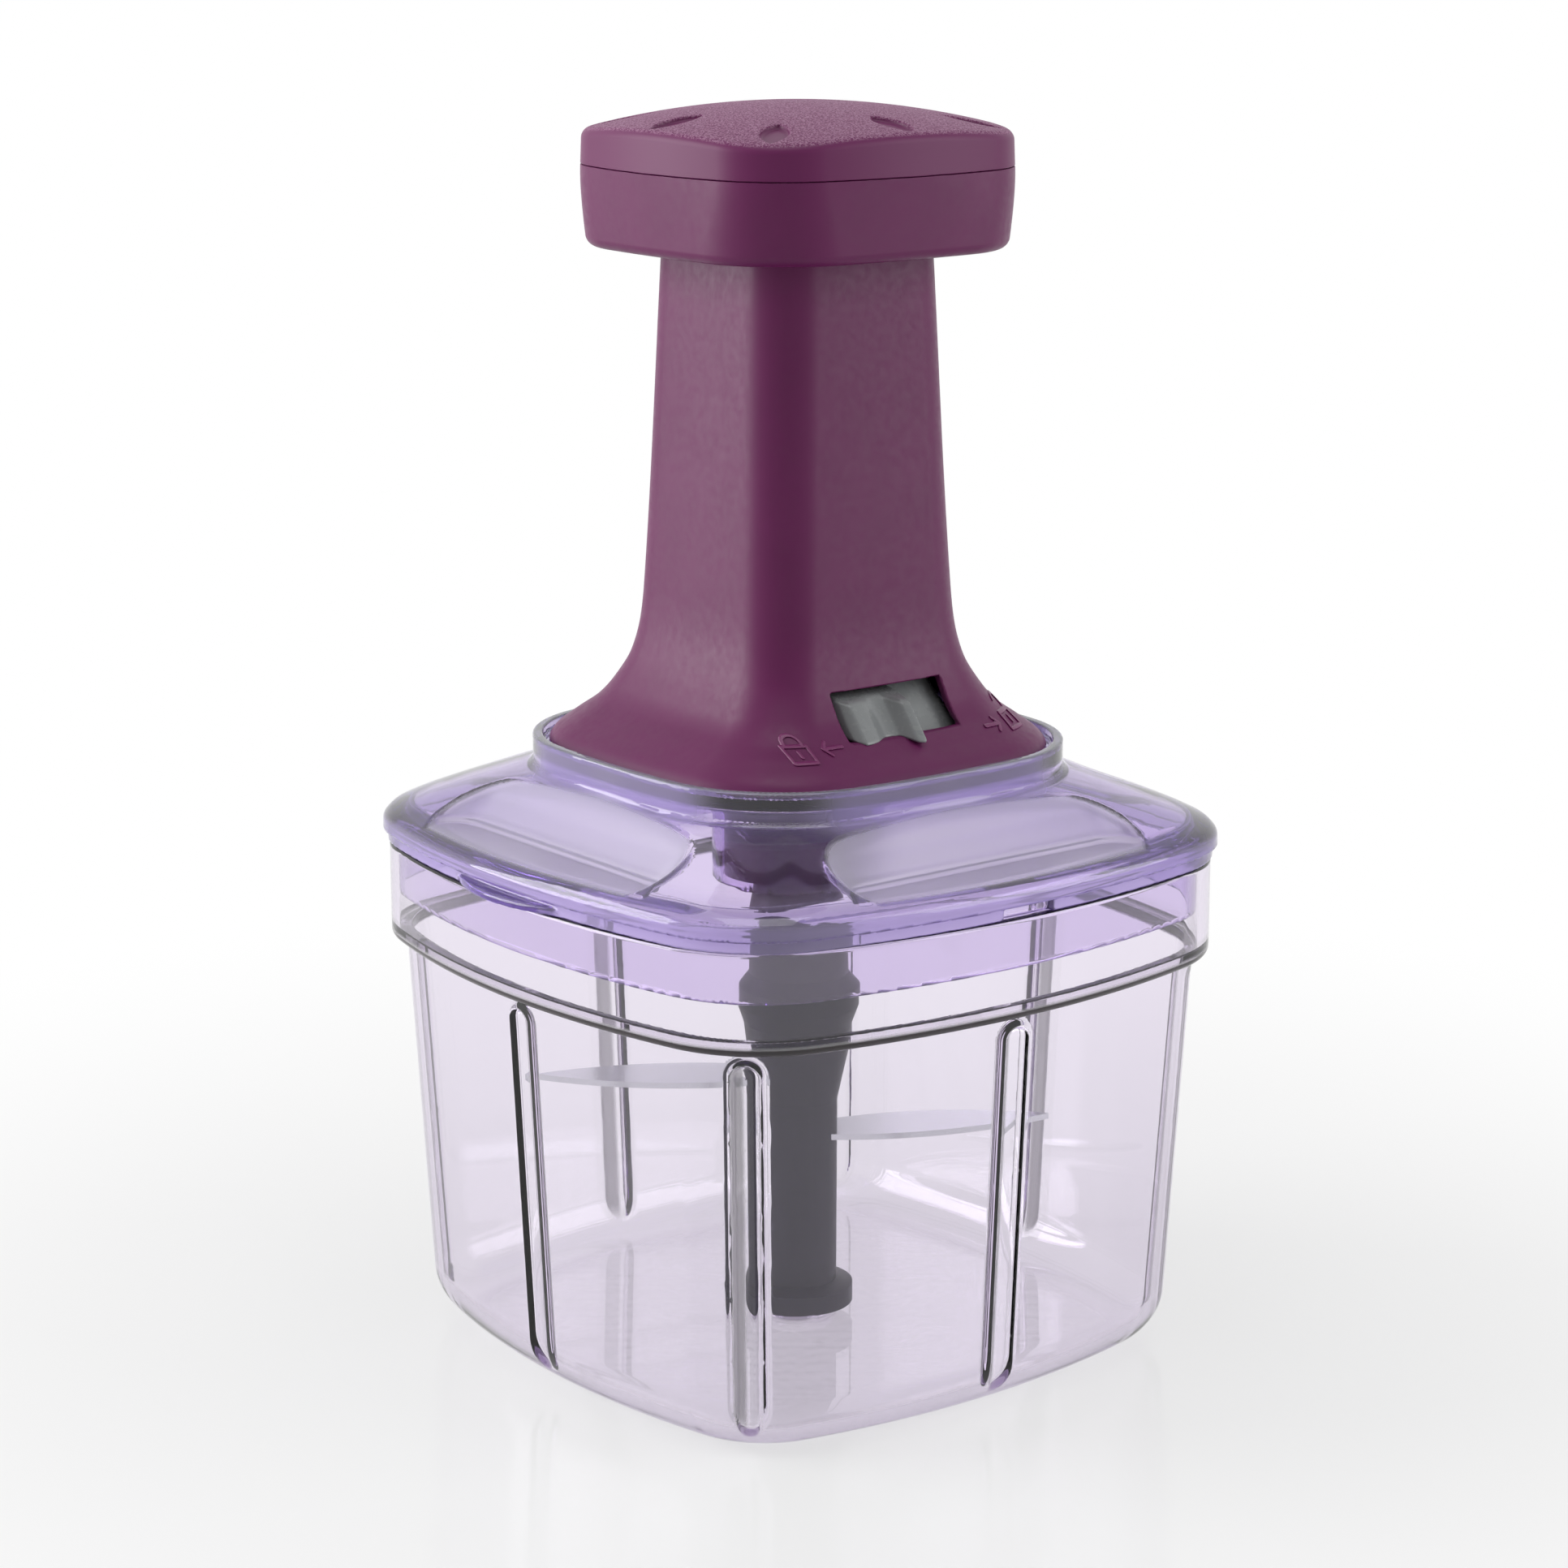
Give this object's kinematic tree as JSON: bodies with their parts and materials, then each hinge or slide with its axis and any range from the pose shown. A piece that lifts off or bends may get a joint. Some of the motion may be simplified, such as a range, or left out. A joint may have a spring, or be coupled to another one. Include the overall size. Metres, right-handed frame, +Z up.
{
  "type": "plunger food chopper",
  "caption": "Hand-pressed food chopper: a square clear bowl with blades on a spindle, a domed lid, and a tapered tower whose palm cap drives them through a twisted screw.",
  "frame": {"origin": "middle of the bowl's flat bottom, on the surface it stands on", "axes": "+Z up along the drive screw, -Y towards the side with the lock slider, -X towards the lid's thumb tab"},
  "size_m": [0.1442, 0.1418, 0.2458],
  "materials": {
    "clear_bowl": "polished clear plastic with a faint lilac cast",
    "violet_lid": "polished violet-tinted clear plastic, scoops frosted",
    "purple_shell": "fine satin",
    "purple_dark": "satin",
    "slider_grey": "soft gloss",
    "grey_plastic": "satin",
    "spindle_grey": "satin",
    "white_plastic": "natural nylon",
    "steel": "turned",
    "blade_steel": "ground and polished",
    "spring_steel": "drawn wire",
    "screw_steel": "zinc plated"
  },
  "bodies": {
    "bowl_body": {"bowl": "clear_bowl", "bowl_pivot_pin": "steel"},
    "lid_unit": {"lid": "violet_lid", "tower_shell": "purple_shell", "base_plate": "purple_dark", "base_screws": "screw_steel", "screw_bush": "white_plastic", "spring_seat": "steel", "return_spring": "spring_steel", "slider_keeper": "grey_plastic", "keeper_screws": "screw_steel"},
    "plunger": {"push_stem": "grey_plastic", "drive_nut": "white_plastic", "nut_pins": "steel", "cap_cup": "purple_shell", "cap_top": "purple_shell", "cap_screws": "screw_steel"},
    "screw_unit": {"drive_screw": "white_plastic", "drive_dog": "grey_plastic"},
    "spindle_unit": {"blade_spindle": "spindle_grey", "spindle_bush": "steel", "blade_upper": "blade_steel", "blade_middle": "blade_steel", "blade_lower": "blade_steel"},
    "lock": {"lock_slider": "slider_grey"}
  },
  "joints": [
    {"name": "lid_lift", "type": "slide", "parent": "bowl_body", "child": "lid_unit", "axis": [0, 0, 1], "range_m": [0, 0.1]},
    {"name": "plunger_slide", "type": "slide", "parent": "lid_unit", "child": "plunger", "axis": [0, 0, 1], "range_m": [0, 0.06], "deforming": ["return_spring"]},
    {"name": "screw_turn", "type": "hinge", "parent": "lid_unit", "child": "screw_unit", "pos_m": [0, 0, 0.12], "axis": [0, 0, 1], "range_deg": [-721, 1]},
    {"name": "spindle_turn", "type": "hinge", "parent": "bowl_body", "child": "spindle_unit", "pos_m": [0, 0, 0.05], "axis": [0, 0, 1], "range_deg": [-721, 1]},
    {"name": "lock_slide", "type": "slide", "parent": "lid_unit", "child": "lock", "axis": [1, 0, 0], "range_m": [0, 0.008]}
  ],
  "couplings": [
    {"joint": "screw_turn", "follows": "plunger_slide", "rad_per_m": -209.44},
    {"joint": "spindle_turn", "follows": "plunger_slide", "rad_per_m": -209.44}
  ]
}
